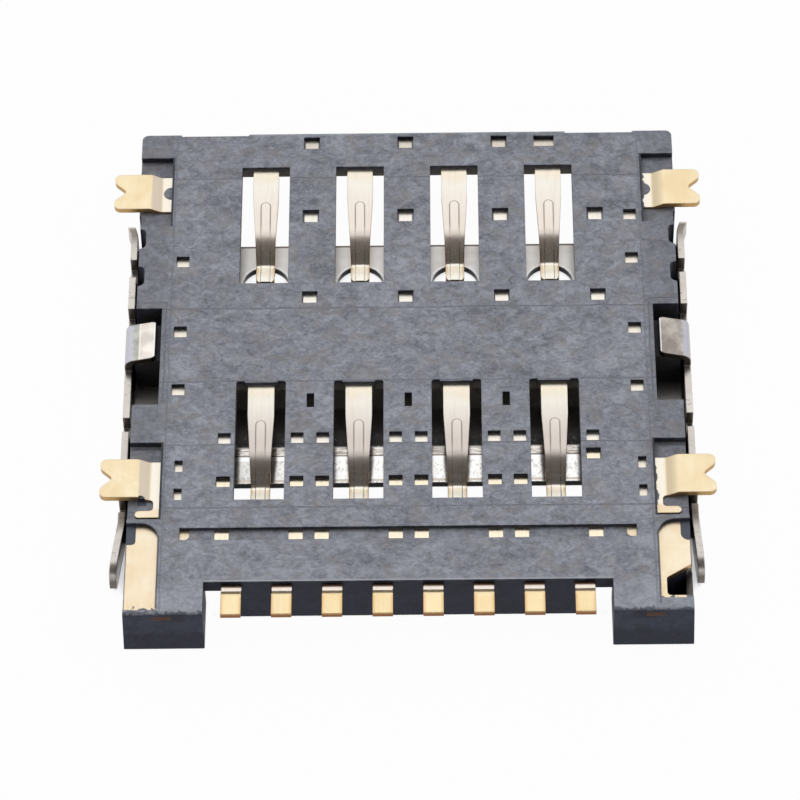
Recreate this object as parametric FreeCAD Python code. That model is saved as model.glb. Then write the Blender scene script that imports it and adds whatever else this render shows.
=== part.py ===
import FreeCAD, Part
import math
import os

# Surface-mount socket for a 15 x 12 mm SIM card, lying on its steel cover with the solder side up.
# While a piece is built, x runs across the socket from its middle, y runs from the plate edge with
# the solder tails towards the card mouth, and z = 0 is the plastic face on the solder side.
# The last step moves every piece so that the origin is the middle of the bottom of the whole socket.
# All sizes are in millimetres.

# Card and contact layout
card_width = 12.0
card_thickness = 0.76
card_side_clearance = 0.05
card_headroom = 0.13
contact_pitch = 2.54
contact_row_pitch = 7.62
contacts_per_row = 4

# Base moulding: plate, rails, feet and card stop
mouth_bar_length = 1.17
plate_thickness = 0.38
rail_span = 14.30
mouth_span = 14.40
mouth_span_length = 2.75
mouth_corner_width = 1.07
mouth_corner_reach = 0.05
mouth_corner_radius = 0.18
mouth_lip_width = 8.60
mouth_lip_reach = 0.12
mouth_lip_bevel = 0.07
stop_wall_width = 9.38
stop_wall_thickness = 0.45
foot_width = 2.00
foot_reach = 1.00
foot_edge_radius = 0.10
foot_draft = 0.04

# Windows over the contact beams
window_width = 1.29
mouth_window_length = 4.16
inner_window_length = 3.86
inner_window_relief = 0.07
inner_window_corner = 0.07
window_lip_width = 0.85
window_lip_reach = 0.045

# Pockets, openings and grooves in the solder side
pocket_depth = 0.18
pocket_inner_x = 6.34
mouth_pocket_y = 12.02
mouth_pocket_length = 2.47
tail_pocket_y = 2.02
tail_pocket_length = 2.51
panel_far_y = 1.89
panel_near_ys = {"left": -0.87, "right": -0.62}
panel_corner_radius = 0.45
clip_opening_x = 6.47
clip_opening_y = 5.80
clip_opening_length = 3.30
cross_groove_y = 1.335
cross_groove_width = 0.39
cross_groove_length = 11.60
side_notch_depth = 0.17
side_notch_length = 0.62
side_notch_radius = 0.15
side_notch_ys = (11.59, 10.27)

# Core-pin marks, where the mould held the strip, and tie-bar cuts between the leads
mouth_mark = (0.43, 0.42)
tab_mark = (0.55, 0.38)
mouth_mark_setback = 0.285
upper_marks = {12.33: (0.44, 0.44), 9.45: (0.41, 0.40)}
lower_marks = {4.65: (0.33, 0.35), 3.22: (0.36, 0.34)}
last_lead_marks = {4.65: (0.33, 0.35), 4.05: (0.38, 0.36)}
rail_mark = (0.34, 0.37)
rail_mark_x = 5.97
rail_mark_ys = (10.73, 8.28, 6.30)
narrow_mark = (0.21, 0.37)
narrow_mark_x = 5.945
narrow_mark_shift = 0.065
narrow_mark_ys = (3.74, 2.82)
extra_rail_mark_y = 12.28
tie_cut_width = 0.19
tie_cut_length = 0.46
tie_cut_y = 5.90

# Contact strip
strip_thickness = 0.15
strip_depth = 0.12
solder_rise = 0.02
lead_width = 0.37
lead_jog_length = 0.70
bridge_length = 0.45
bridge_setback = 0.14
mouth_lead_offset = 1.23
mouth_lead_lower_offset = 0.96
inner_lead_offset = 0.92
upper_jog_y = 7.90
tail_jog_y = 0.45
last_carrier_offset = -0.09
last_carrier_width = 0.62
tail_offset = 0.635
tail_width = 0.51
tail_reach = 1.04
tail_shelf = 0.25
tail_ramp = 0.19
strip_bend_radius = 0.14

# Contact beam, measured from its root at the far wall of the window
inner_root_y = 6.49
beam_root_width = 0.69
beam_shoulder = 0.90
beam_knee_width = 0.54
beam_tip_width = 0.50
beam_knee = 2.25
beam_knee_drop = 0.32
beam_trough = 2.72
beam_trough_drop = 0.83
beam_end = 3.46
beam_end_drop = 0.66
beam_root_radius = 1.20
beam_knee_radius = 0.80
beam_trough_radius = 0.24
beam_tip_corner = 0.17
bead_start = 1.06
bead_width = 0.25
bead_height = 0.018

# Solder rails
rail_inner_x = 5.55
rail_outer_x = 6.22
rail_end_y = 1.42
rail_end_radius = 0.15
tab_width = 1.24
mouth_tab_y = 13.25
tail_tab_y = 3.35
tab_reach = 7.88
tab_flat_start = 6.92
tab_slope_start = 6.64
tab_bend_radius = 0.16
fishtail_depth = 0.34
fishtail_mouth = 0.64
fishtail_notch_radius = 0.10
prong_outer_round = 0.60
prong_inner_round = 0.35
tab_lock_radius = 0.22
tab_lock_shift = 0.04
tab_relief_radius = 0.08
tab_relief_x = 6.80
relief_knob_drop = 0.05
panel_outer_x = 7.13
panel_nub_width = 0.22
panel_nub_length = 0.60
panel_nub_rounds = {"left": 0.11, "right": 0.20}
carrier_tail_width = 0.45
carrier_tail_x = 5.96
hook_foot_y = 2.165
hook_foot_width = 0.22
hook_foot_x = 6.96
hook_arm_width = 0.16
hook_corner_radius = 0.10
panel_hole_x = 6.50
panel_hole_y = -0.46
panel_hole_width = 0.52
panel_hole_length = 0.56
panel_hole_slant = 0.66
panel_hole_radius = 0.10
panel_ledge_depth = 0.62
panel_ledge_rise = 0.32

# Steel cover
cover_thickness = 0.18
cover_side_gap = 0.10
cover_mouth_y = 12.37
cover_stop_y = 4.15
cover_margin_x = 6.20
cover_margin_mouth_y = 12.60
cover_margin_stop_y = 2.35
wall_rise = 0.83
sill_rise = 0.40
cover_bend_radius = 0.10
wall_spans = ((10.75, 9.63), (7.47, 5.87), (5.41, 3.14))
ear_near_ys = {"left": 11.36, "right": 11.23}
ear_bend_y = 12.23
ear_flare = 0.11
ear_corner_radius = 0.22
clip_y = 8.09
clip_width = 1.24
clip_length = 0.73
clip_recess = 0.07
clip_fall = 0.17
clip_bend_radius = 0.08
clip_seat_radius = 0.15
clip_corner_radius = 0.16
arm_root_ys = {"left": 2.74, "right": 2.85}
arm_end_y = 0.76
arm_flares = {"left": 0.17, "right": 0.09}
arm_flare_start = 2.40
arm_flare_end = 0.90
arm_floor_gap = 0.09
arm_corner_radius = 0.18
arm_tip_radius = 0.48
arm_bend_radius = 0.50
tip_hole_radius = 0.62
tip_hole_y = 11.00

# Places that follow from the sizes above
cavity_half_width = card_width / 2 + card_side_clearance
rail_bottom_z = -(plate_thickness + card_thickness + card_headroom)
body_bottom_z = rail_bottom_z - cover_thickness
strip_top_z = -strip_depth
strip_middle_z = strip_top_z - strip_thickness / 2
strip_bottom_z = strip_top_z - strip_thickness
solder_middle_z = solder_rise - strip_thickness / 2
mouth_root_y = inner_root_y + contact_row_pitch
plate_length = mouth_root_y + mouth_bar_length
mouth_mark_y = plate_length - mouth_mark_setback
half_rail_span = rail_span / 2
wall_inner_x = half_rail_span + cover_side_gap
wall_middle_x = wall_inner_x + cover_thickness / 2
clip_end_x = wall_middle_x - clip_length
cover_middle_z = body_bottom_z + cover_thickness / 2
wall_top_z = body_bottom_z + wall_rise
sill_top_z = body_bottom_z + sill_rise
clip_middle_z = -clip_recess - cover_thickness / 2
overall_near_y = -max(tail_reach, foot_reach)
overall_far_y = plate_length + max(mouth_lip_reach, mouth_corner_reach)
cut_margin = 1.0
sides = {"left": -1, "right": 1}


def xy_point(u, v, level):
    return FreeCAD.Vector(u, v, level)


def xz_point(u, v, level):
    return FreeCAD.Vector(u, level, v)


def yz_point(u, v, level):
    return FreeCAD.Vector(level, u, v)


def corner_arc(before, corner, after, radius):
    """Start, middle and end of the arc that rounds one corner of an outline."""
    back = (before - corner).normalize()
    ahead = (after - corner).normalize()
    half_angle = back.getAngle(ahead) / 2
    reach = radius / math.tan(half_angle)
    inward = (back + ahead).normalize()
    middle = corner + inward * (radius / math.sin(half_angle) - radius)
    return corner + back * reach, middle, corner + ahead * reach


def outline_wire(points, radii):
    """Closed wire through the points, each corner rounded by its radius where that isn't zero."""
    count = len(points)
    corners = []
    for index, radius in enumerate(radii):
        corner = points[index]
        if radius > 0:
            corners.append(corner_arc(points[index - 1], corner, points[(index + 1) % count], radius))
        else:
            corners.append((corner, None, corner))
    edges = []
    for index, (start, middle, end) in enumerate(corners):
        if middle is not None:
            edges.append(Part.Arc(start, middle, end).toShape())
        following = corners[(index + 1) % count][0]
        if (following - end).Length > 1e-6:
            edges.append(Part.LineSegment(end, following).toShape())
    return Part.Wire(edges)


def extruded(outline, plane, start, end):
    """Solid from an outline of (u, v, radius) corners in a plane, between two levels across it."""
    points = [plane(u, v, start) for u, v, radius in outline]
    wire = outline_wire(points, [radius for u, v, radius in outline])
    across = plane(0, 0, end - start)
    return Part.Face(wire).extrude(across)


def block(x0, x1, y0, y1, z0, z1):
    size = (abs(x1 - x0), abs(y1 - y0), abs(z1 - z0))
    return Part.makeBox(*size, FreeCAD.Vector(min(x0, x1), min(y0, y1), min(z0, z1)))


def centred_block(x, y, width, length, z0, z1):
    return block(x - width / 2, x + width / 2, y - length / 2, y + length / 2, z0, z1)


def upright(outline, z0, z1):
    return extruded(outline, xy_point, z0, z1)


def offset_corner(path, index, offset):
    """Point of a path moved sideways by the offset, to the left of its direction of travel."""
    normals = []
    for first, second in ((index - 1, index), (index, index + 1)):
        if 0 <= first and second < len(path):
            du = path[second][0] - path[first][0]
            dv = path[second][1] - path[first][1]
            length = math.hypot(du, dv)
            normals.append((-dv / length, du / length))
    if len(normals) == 1:
        normals = normals * 2
    (au, av), (bu, bv) = normals
    scale = offset / (1 + au * bu + av * bv)
    turn = au * bv - av * bu
    return path[index][0] + (au + bu) * scale, path[index][1] + (av + bv) * scale, turn


def strip_outline(path, low, high):
    """Outline of a bent strip that lies between two offsets of a path of (u, v, bend radius)."""
    outline = []
    for offset, order in ((high, range(len(path))), (low, reversed(range(len(path))))):
        for index in order:
            u, v, turn = offset_corner(path, index, offset)
            radius = path[index][2]
            if radius > 0 and abs(turn) > 1e-6:
                radius = radius - math.copysign(offset, turn * offset)
            outline.append((u, v, radius))
    return outline


def sheet(path, thickness):
    return strip_outline(path, -thickness / 2, thickness / 2)


def flat_lead(path, width):
    """Run of the stamped strip in its own plane, along a path of (x, y) points."""
    outline = strip_outline([(x, y, 0) for x, y in path], -width / 2, width / 2)
    return upright(outline, strip_bottom_z, strip_top_z)


def strip_block(x0, x1, y0, y1):
    return block(x0, x1, y0, y1, strip_bottom_z, strip_top_z)


def joined(pieces):
    first, *others = pieces
    return first.fuse(others).removeSplitter() if others else first


def mirrored(shape):
    return shape.mirror(FreeCAD.Vector(0, 0, 0), FreeCAD.Vector(1, 0, 0))


def column_x(column):
    return (column - (contacts_per_row - 1) / 2) * contact_pitch


# Contacts

def beam_outline(root_y):
    """Plan of a beam: a wide root, a long taper and a narrow rounded tip."""
    half_root = beam_root_width / 2
    half_knee = beam_knee_width / 2
    half_tip = beam_tip_width / 2
    inside = root_y + bridge_setback
    shoulder_y = root_y - beam_shoulder
    right_side = [(half_root, inside, 0), (half_root, shoulder_y, beam_shoulder),
                  (half_knee, root_y - beam_knee, 0), (half_tip, root_y - beam_trough, 0),
                  (half_tip, root_y - beam_end, beam_tip_corner)]
    left_side = [(-x, y, radius) for x, y, radius in reversed(right_side)]
    return left_side + right_side


def beam_path(root_y):
    """Side view of a beam: level at the root, down to a trough that rubs on the card, up to the tip."""
    return [(root_y + bridge_setback, strip_middle_z, 0),
            (root_y - bridge_setback, strip_middle_z, beam_root_radius),
            (root_y - beam_knee, strip_middle_z - beam_knee_drop, beam_knee_radius),
            (root_y - beam_trough, strip_middle_z - beam_trough_drop, beam_trough_radius),
            (root_y - beam_end, strip_middle_z - beam_end_drop, 0)]


def beam_at(root_y):
    """Contact beam with its stiffening bead, pressed up from below along the middle to the tip."""
    half_width = beam_root_width / 2
    half_strip = strip_thickness / 2
    path = beam_path(root_y)
    strip = extruded(sheet(path, strip_thickness), yz_point, -half_width, half_width)
    beam_plan = upright(beam_outline(root_y), body_bottom_z, 0)
    beam = strip.common(beam_plan)
    bead_plan = upright([(-bead_width / 2, root_y - beam_end, 0), (bead_width / 2, root_y - beam_end, 0),
                         (bead_width / 2, root_y - bead_start, bead_width / 2),
                         (-bead_width / 2, root_y - bead_start, bead_width / 2)], body_bottom_z, 0)
    bead_plan = bead_plan.common(beam_plan)
    raised = extruded(strip_outline(path, -half_strip - bead_height, -half_strip), yz_point,
                      -half_width, half_width)
    hollow = extruded(strip_outline(path, half_strip - bead_height, half_strip), yz_point,
                      -half_width, half_width)
    return beam.fuse(raised.common(bead_plan)).cut(hollow.common(bead_plan))


def solder_tail(x):
    """Tail that leaves the plate edge low, climbs to the board and ends in a flat solder pad."""
    path = [(tail_jog_y / 2, strip_middle_z, 0),
            (-tail_shelf, strip_middle_z, strip_bend_radius),
            (-tail_shelf - tail_ramp, solder_middle_z, strip_bend_radius),
            (-tail_reach, solder_middle_z, 0)]
    outline = sheet(path, strip_thickness)
    return extruded(outline, yz_point, x - tail_width / 2, x + tail_width / 2)


def lead_to_tail(lead_x, tail_x, top_y):
    """Straight lead with the sideways jog that brings it to its solder tail."""
    jog_top = tail_jog_y + lead_jog_length
    return [(lead_x, top_y), (lead_x, jog_top), (tail_x, tail_jog_y), (tail_x, 0)]


def mouth_contact(column):
    """Contact of the row near the card mouth: its lead passes the beam of the other row."""
    x = column_x(column)
    last = column == contacts_per_row - 1
    lead_x = x + mouth_lead_offset
    lower_x = x + mouth_lead_lower_offset
    bridge_y = mouth_root_y + bridge_setback
    bridge_top = bridge_y + bridge_length
    bridge = strip_block(x - beam_root_width / 2, lead_x + lead_width / 2, bridge_y, bridge_top)
    if last:
        carrier = centred_block(x + last_carrier_offset, (bridge_y + plate_length) / 2, last_carrier_width,
                                plate_length - bridge_y, strip_bottom_z, strip_top_z)
    else:
        carrier = strip_block(lead_x - lead_width / 2, lead_x + lead_width / 2, bridge_y, plate_length)
    run = [(lead_x, bridge_top), (lead_x, upper_jog_y + lead_jog_length)]
    run += lead_to_tail(lower_x, x + tail_offset, upper_jog_y)
    beam = beam_at(mouth_root_y).translated(FreeCAD.Vector(x, 0, 0))
    return joined([beam, bridge, carrier, flat_lead(run, lead_width), solder_tail(x + tail_offset)])


def inner_contact(column):
    """Contact of the row near the closed end: its lead runs beside its own window."""
    x = column_x(column)
    lead_x = x - inner_lead_offset
    bridge_y = inner_root_y + bridge_setback
    bridge_top = bridge_y + bridge_length
    bridge = strip_block(lead_x - lead_width / 2, x + beam_root_width / 2, bridge_y, bridge_top)
    run = lead_to_tail(lead_x, x - tail_offset, bridge_top)
    beam = beam_at(inner_root_y).translated(FreeCAD.Vector(x, 0, 0))
    return joined([beam, bridge, flat_lead(run, lead_width), solder_tail(x - tail_offset)])


# Solder rails, modelled on the right side and mirrored for the left

def fishtail_tab(y):
    """Tab that climbs out of the rail to the board and ends in a fishtail for the solder."""
    path = [(rail_outer_x - lead_width / 2, strip_middle_z, 0),
            (tab_slope_start, strip_middle_z, tab_bend_radius),
            (tab_flat_start, solder_middle_z, tab_bend_radius),
            (tab_reach, solder_middle_z, 0)]
    half = tab_width / 2
    half_mouth = fishtail_mouth / 2
    prong = half - half_mouth
    outer = prong * prong_outer_round
    inner = prong * prong_inner_round / math.tan(math.atan2(fishtail_depth, half_mouth) / 2)
    start = path[0][0]
    plan = [(start, -half, 0), (tab_reach, -half, outer), (tab_reach, -half_mouth, inner),
            (tab_reach - fishtail_depth, 0, fishtail_notch_radius),
            (tab_reach, half_mouth, inner), (tab_reach, half, outer), (start, half, 0)]
    plan = [(x, y + v, radius) for x, v, radius in plan]
    strip = extruded(sheet(path, strip_thickness), xz_point, y - half, y + half)
    return strip.common(upright(plan, strip_bottom_z - strip_thickness, solder_rise + strip_thickness))


def lock_hole(y):
    """Half-round hole at the inner end of a tab, which the moulding fills to lock the tab."""
    centre = FreeCAD.Vector(pocket_inner_x, y + tab_lock_shift, strip_bottom_z)
    return Part.makeCylinder(tab_lock_radius, strip_thickness, centre)


def panel_opening(far_x):
    """Hole in the right foot panel, out to the given x, with a slanted far edge."""
    near_y = panel_hole_y
    far_y = panel_hole_y + panel_hole_length
    outline = [(panel_hole_x, near_y, panel_hole_radius), (far_x, near_y, 0),
               (far_x, far_y + (far_x - panel_hole_x) * panel_hole_slant, 0),
               (panel_hole_x, far_y, panel_hole_radius)]
    return upright(outline, rail_bottom_z + strip_thickness, 0)


def foot_pit():
    """Pit in the right foot under the panel hole, with a steep ledge on its outer side."""
    ledge_x = panel_hole_x + panel_hole_width
    outer_x = half_rail_span + foot_draft
    slope = extruded([(ledge_x, -panel_ledge_depth, 0), (outer_x, -panel_ledge_rise, 0),
                      (outer_x, 0, 0), (ledge_x, 0, 0)], xz_point, panel_hole_y, panel_far_y)
    return panel_opening(ledge_x).fuse(panel_opening(outer_x).common(slope))


def hook(tab_near_y):
    """Hook under the tail tab: a short arm with a rounded foot that locks in the moulding."""
    arm_x = pocket_inner_x + hook_arm_width
    foot_far_y = hook_foot_y + hook_foot_width
    tip_round = hook_foot_width / 2
    root_x = arm_x + hook_corner_radius
    outline = [(rail_inner_x, hook_foot_y, 0), (hook_foot_x, hook_foot_y, tip_round),
               (hook_foot_x, foot_far_y, tip_round), (arm_x, foot_far_y, hook_corner_radius),
               (arm_x, tab_near_y, hook_corner_radius), (root_x, tab_near_y, 0),
               (root_x, tab_near_y + tab_relief_radius, 0),
               (rail_inner_x, tab_near_y + tab_relief_radius, 0)]
    return upright(outline, strip_bottom_z, strip_top_z)


def tab_relief(low_z, high_z):
    """Round notch in the near edge of the left tail tab, which a knob of the moulding fills."""
    centre = FreeCAD.Vector(tab_relief_x, tail_tab_y - tab_width / 2, low_z)
    return Part.makeCylinder(tab_relief_radius, high_z - low_z, centre)


def foot_panel(side):
    """Gold panel on the foot, with a notch at its outer far corner."""
    near_y = panel_near_ys[side]
    panel = upright([(pocket_inner_x, near_y, 0), (panel_outer_x, near_y, 0),
                     (panel_outer_x, panel_far_y, 0),
                     (pocket_inner_x, panel_far_y, panel_corner_radius)], strip_bottom_z, strip_top_z)
    nub_y = panel_far_y - panel_nub_length
    nub = upright([(panel_outer_x - panel_nub_width, nub_y, panel_nub_rounds[side]),
                   (panel_outer_x, nub_y, 0),
                   (panel_outer_x, panel_far_y, 0), (panel_outer_x - panel_nub_width, panel_far_y, 0)],
                  strip_bottom_z, strip_top_z)
    return panel.cut(nub)


def solder_rail(side):
    """Side strip: two fishtail tabs, a hook, the foot panel and its cut carrier end."""
    top_y = mouth_tab_y + tab_width / 2
    spine = upright([(rail_inner_x, rail_end_y, rail_end_radius), (rail_outer_x, rail_end_y, 0),
                     (rail_outer_x, top_y, 0), (rail_inner_x, top_y, 0)], strip_bottom_z, strip_top_z)
    tail_tab_near_y = tail_tab_y - tab_width / 2
    near_y = panel_near_ys[side]
    link = strip_block(rail_inner_x + rail_end_radius, panel_outer_x - panel_nub_width, rail_end_y,
                       rail_end_y + lead_width / 2)
    shoulder = strip_block(carrier_tail_x, pocket_inner_x + lead_width, near_y, near_y + lead_width)
    carrier = strip_block(carrier_tail_x, carrier_tail_x + carrier_tail_width, -foot_reach, near_y)
    rail = joined([spine, fishtail_tab(mouth_tab_y), fishtail_tab(tail_tab_y), hook(tail_tab_near_y),
                   foot_panel(side), link, shoulder, carrier])
    rail = rail.cut(lock_hole(mouth_tab_y))
    if side == "right":
        return rail.cut(panel_opening(half_rail_span + cut_margin))
    return mirrored(rail.cut(tab_relief(-cut_margin, cut_margin)))


# Base moulding

def side_pocket(y, length, depth, corner_radius):
    """Recess open to the side, with one inner corner that can be rounded."""
    outline = [(pocket_inner_x, y, 0), (tab_reach, y, 0), (tab_reach, y + length, 0),
               (pocket_inner_x, y + length, corner_radius)]
    return upright(outline, -depth, cut_margin)


def side_half(side):
    """Rail, foot and mouth corner of one side, mirrored for the left."""
    mouth_half = mouth_span / 2
    rail = block(cavity_half_width, half_rail_span, 0, plate_length, rail_bottom_z, 0)
    mouth = upright([(mouth_half - mouth_corner_width, plate_length - mouth_span_length, 0),
                     (mouth_half, plate_length - mouth_span_length, 0),
                     (mouth_half, plate_length + mouth_corner_reach, mouth_corner_radius),
                     (mouth_half - mouth_corner_width, plate_length + mouth_corner_reach, 0)],
                    rail_bottom_z, 0)
    inner_x = half_rail_span - foot_width
    low_x = half_rail_span + foot_draft
    foot = extruded([(-foot_reach, body_bottom_z, 0), (stop_wall_thickness, body_bottom_z, 0),
                     (stop_wall_thickness, 0, 0), (-foot_reach, 0, foot_edge_radius)],
                    yz_point, inner_x, low_x)
    drafted = extruded([(inner_x, body_bottom_z, 0), (low_x, body_bottom_z, 0), (half_rail_span, 0, 0),
                        (inner_x, 0, 0)], xz_point, -foot_reach, stop_wall_thickness)
    half = joined([rail, mouth, foot.common(drafted)])
    return half if side == "right" else mirrored(half)


def clip_underside(x):
    """Height of the sloping underside of a cover clip at a place across the socket."""
    slope = clip_fall / clip_length
    return clip_middle_z - (x - clip_end_x) * slope - cover_thickness / 2 * math.hypot(1, slope)


def side_cuts(side):
    """Pockets, clip opening and notches of one side, mirrored for the left."""
    panel_near_y = panel_near_ys[side]
    cuts = [side_pocket(mouth_pocket_y, mouth_pocket_length, pocket_depth, 0),
            side_pocket(tail_pocket_y, tail_pocket_length, pocket_depth, 0),
            side_pocket(panel_near_y, panel_far_y - panel_near_y, strip_depth, panel_corner_radius)]
    opening = block(clip_opening_x, tab_reach, clip_opening_y, clip_opening_y + clip_opening_length,
                    rail_bottom_z - cut_margin, cut_margin)
    seat = extruded([(clip_opening_x, rail_bottom_z, 0), (half_rail_span, rail_bottom_z, 0),
                     (half_rail_span, clip_underside(half_rail_span), clip_seat_radius),
                     (clip_opening_x, clip_underside(clip_opening_x), 0)],
                    xz_point, clip_y - clip_width / 2, clip_y + clip_width / 2)
    cuts.append(opening.cut(seat))
    for y in side_notch_ys:
        near = y - side_notch_length / 2
        far = y + side_notch_length / 2
        notch = [(half_rail_span - side_notch_depth, near, side_notch_radius),
                 (half_rail_span + side_notch_depth, near - side_notch_depth, 0),
                 (half_rail_span + side_notch_depth, far, 0),
                 (half_rail_span - side_notch_depth, far, side_notch_radius)]
        cuts.append(upright(notch, rail_bottom_z - cut_margin, cut_margin))
    return [cut if side == "right" else mirrored(cut) for cut in cuts]


def window(x, far_y, length, corner_radius):
    x0 = x - window_width / 2
    x1 = x + window_width / 2
    return upright([(x0, far_y - length, 0), (x1, far_y - length, 0), (x1, far_y, corner_radius),
                    (x0, far_y, corner_radius)], -plate_thickness - cut_margin, cut_margin)


def windows():
    """Through windows over both rows of beams; the inner ones keep a small lip behind the beam."""
    cuts = []
    for column in range(contacts_per_row):
        x = column_x(column)
        cuts.append(window(x, mouth_root_y, mouth_window_length, 0))
        far_y = inner_root_y + inner_window_relief
        inner = window(x, far_y, inner_window_length + inner_window_relief, inner_window_corner)
        lip = centred_block(x, far_y, window_lip_width, 2 * window_lip_reach, -plate_thickness, 0)
        cuts.append(inner.cut(lip))
    return cuts


def mark(x, y, size):
    """Core-pin mark: a small square pit that bares the strip."""
    return centred_block(x, y, size[0], size[1], strip_top_z, cut_margin)


def marks():
    pits = []
    for column in range(contacts_per_row):
        x = column_x(column)
        last = column == contacts_per_row - 1
        if last:
            pits.append(mark(x + last_carrier_offset, mouth_mark_y, tab_mark))
        else:
            pits.append(mark(x + mouth_lead_offset, mouth_mark_y, mouth_mark))
        pits += [mark(x + mouth_lead_offset, y, size) for y, size in upper_marks.items()]
        lead_marks = last_lead_marks if last else lower_marks
        pits += [mark(x + mouth_lead_lower_offset, y, size) for y, size in lead_marks.items()]
        pits += [mark(x - inner_lead_offset, y, size) for y, size in lower_marks.items()]
    for direction in sides.values():
        pits += [mark(direction * rail_mark_x, y, rail_mark) for y in rail_mark_ys]
        pits += [mark(direction * narrow_mark_x + narrow_mark_shift, y, narrow_mark)
                 for y in narrow_mark_ys]
    pits.append(mark(rail_mark_x, extra_rail_mark_y, rail_mark))
    return pits


def tie_cuts():
    """Through cuts that parted each pair of neighbouring leads after moulding."""
    cuts = []
    for column in range(contacts_per_row - 1):
        mouth_lead_x = column_x(column) + mouth_lead_lower_offset
        inner_lead_x = column_x(column + 1) - inner_lead_offset
        middle_x = (mouth_lead_x + inner_lead_x) / 2
        cuts.append(centred_block(middle_x, tie_cut_y, tie_cut_width, tie_cut_length,
                                  -plate_thickness - cut_margin, cut_margin))
    return cuts


def base_housing(metal):
    """Black moulding around the strip pieces: plate, rails, feet and the wall that stops the card."""
    plate = block(-half_rail_span, half_rail_span, 0, plate_length, -plate_thickness, 0)
    lip = extruded([(plate_length - stop_wall_thickness, 0, 0), (plate_length, 0, 0),
                    (plate_length + mouth_lip_reach, -mouth_lip_bevel, 0),
                    (plate_length + mouth_lip_reach, -plate_thickness, 0),
                    (plate_length - stop_wall_thickness, -plate_thickness, 0)],
                   yz_point, -mouth_lip_width / 2, mouth_lip_width / 2)
    stop_wall = block(-stop_wall_width / 2, stop_wall_width / 2, 0, stop_wall_thickness,
                      body_bottom_z, -plate_thickness)
    moulding = joined([plate, lip, stop_wall] + [side_half(side) for side in sides])
    groove = block(-cross_groove_length / 2, cross_groove_length / 2, cross_groove_y,
                   cross_groove_y + cross_groove_width, strip_top_z, cut_margin)
    cuts = windows() + marks() + tie_cuts() + [groove]
    for side in sides:
        cuts += side_cuts(side)
    moulding = moulding.cut(cuts)
    for side, direction in sides.items():
        lock = lock_hole(mouth_tab_y)
        moulding = moulding.fuse(lock if direction > 0 else mirrored(lock))
    tab_near_y = tail_tab_y - tab_width / 2
    knob = tab_relief(-plate_thickness, -relief_knob_drop)
    knob = knob.common(block(0, tab_reach, tab_near_y, tail_tab_y, -plate_thickness, 0))
    moulding = moulding.cut(foot_pit()).fuse(mirrored(knob))
    return moulding.cut(metal).removeSplitter()


# Steel cover, with its sides modelled on the right and mirrored for the left

def cover_wall(near_y, far_y, top_z=wall_top_z):
    """Side wall of the cover with the bend under it."""
    path = [(cover_margin_x, cover_middle_z, 0),
            (wall_middle_x, cover_middle_z, cover_bend_radius + cover_thickness / 2),
            (wall_middle_x, top_z, 0)]
    return extruded(sheet(path, cover_thickness), xz_point, near_y, far_y)


def cover_clip():
    """Clip that rises beside the base and folds over its rail to hold the cover on."""
    lower_bend = cover_bend_radius + cover_thickness / 2
    upper_bend = clip_bend_radius + cover_thickness / 2
    path = [(cover_margin_x, cover_middle_z, 0), (wall_middle_x, cover_middle_z, lower_bend),
            (wall_middle_x, clip_middle_z - clip_fall, upper_bend), (clip_end_x, clip_middle_z, 0)]
    near_y = clip_y - clip_width / 2
    far_y = clip_y + clip_width / 2
    strip = extruded(sheet(path, cover_thickness), xz_point, near_y, far_y)
    lean = cover_thickness / 2 * clip_fall / math.hypot(clip_length, clip_fall)
    round_x = clip_end_x - lean + clip_corner_radius
    low_z = clip_underside(half_rail_span)
    for y, step in ((near_y, 1), (far_y, -1)):
        corner = block(clip_opening_x, round_x, y, y + step * clip_corner_radius, low_z, 0)
        centre = FreeCAD.Vector(round_x, y + step * clip_corner_radius, low_z)
        strip = strip.cut(corner.cut(Part.makeCylinder(clip_corner_radius, cut_margin, centre)))
    return strip


def cover_ear(near_y):
    """Wall end at the card mouth, with a rounded corner and a slight outward flare."""
    end_y = cover_margin_mouth_y
    path = [(wall_middle_x, near_y, 0), (wall_middle_x, ear_bend_y, arm_bend_radius),
            (wall_middle_x + ear_flare, end_y, 0)]
    low_z = body_bottom_z + cover_thickness + cover_bend_radius
    blade = upright(sheet(path, cover_thickness), low_z, wall_top_z)
    side_view = [(near_y, low_z, 0), (end_y + cover_thickness, low_z, 0),
                 (end_y, wall_top_z, ear_corner_radius), (near_y, wall_top_z, 0)]
    blade = blade.common(extruded(side_view, yz_point, cavity_half_width, tab_reach))
    return joined([cover_wall(near_y, ear_bend_y), blade])


def cover_arm(root_y, flare):
    """Springy side arm that reaches past the foot and stands slightly outwards."""
    path = [(wall_middle_x, root_y, 0), (wall_middle_x, arm_flare_start, arm_bend_radius),
            (wall_middle_x + flare, arm_flare_end, arm_bend_radius),
            (wall_middle_x + flare, arm_end_y, 0)]
    low_z = body_bottom_z + arm_floor_gap
    blade = upright(sheet(path, cover_thickness), low_z, wall_top_z)
    side_view = [(arm_end_y, low_z, arm_corner_radius), (cover_margin_stop_y, low_z, 0),
                 (root_y, low_z + cover_thickness, 0),
                 (root_y, wall_top_z, 0), (arm_end_y, wall_top_z, arm_tip_radius)]
    blade = blade.common(extruded(side_view, yz_point, cavity_half_width, tab_reach))
    return joined([cover_wall(cover_margin_stop_y, root_y), blade])


def cover_side(side):
    """Margin, sill, walls, clip, ear and arm of one side, mirrored for the left."""
    walls = [cover_wall(near_y, far_y) for far_y, near_y in wall_spans]
    walls.append(cover_wall(cover_margin_stop_y, ear_bend_y, sill_top_z))
    margin = block(cover_margin_x - cover_thickness, wall_inner_x - cover_bend_radius,
                   cover_margin_stop_y, cover_margin_mouth_y, body_bottom_z, rail_bottom_z)
    ear = cover_ear(ear_near_ys[side])
    arm = cover_arm(arm_root_ys[side], arm_flares[side])
    half = joined([margin, cover_clip(), ear, arm] + walls)
    return half if side == "right" else mirrored(half)


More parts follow.
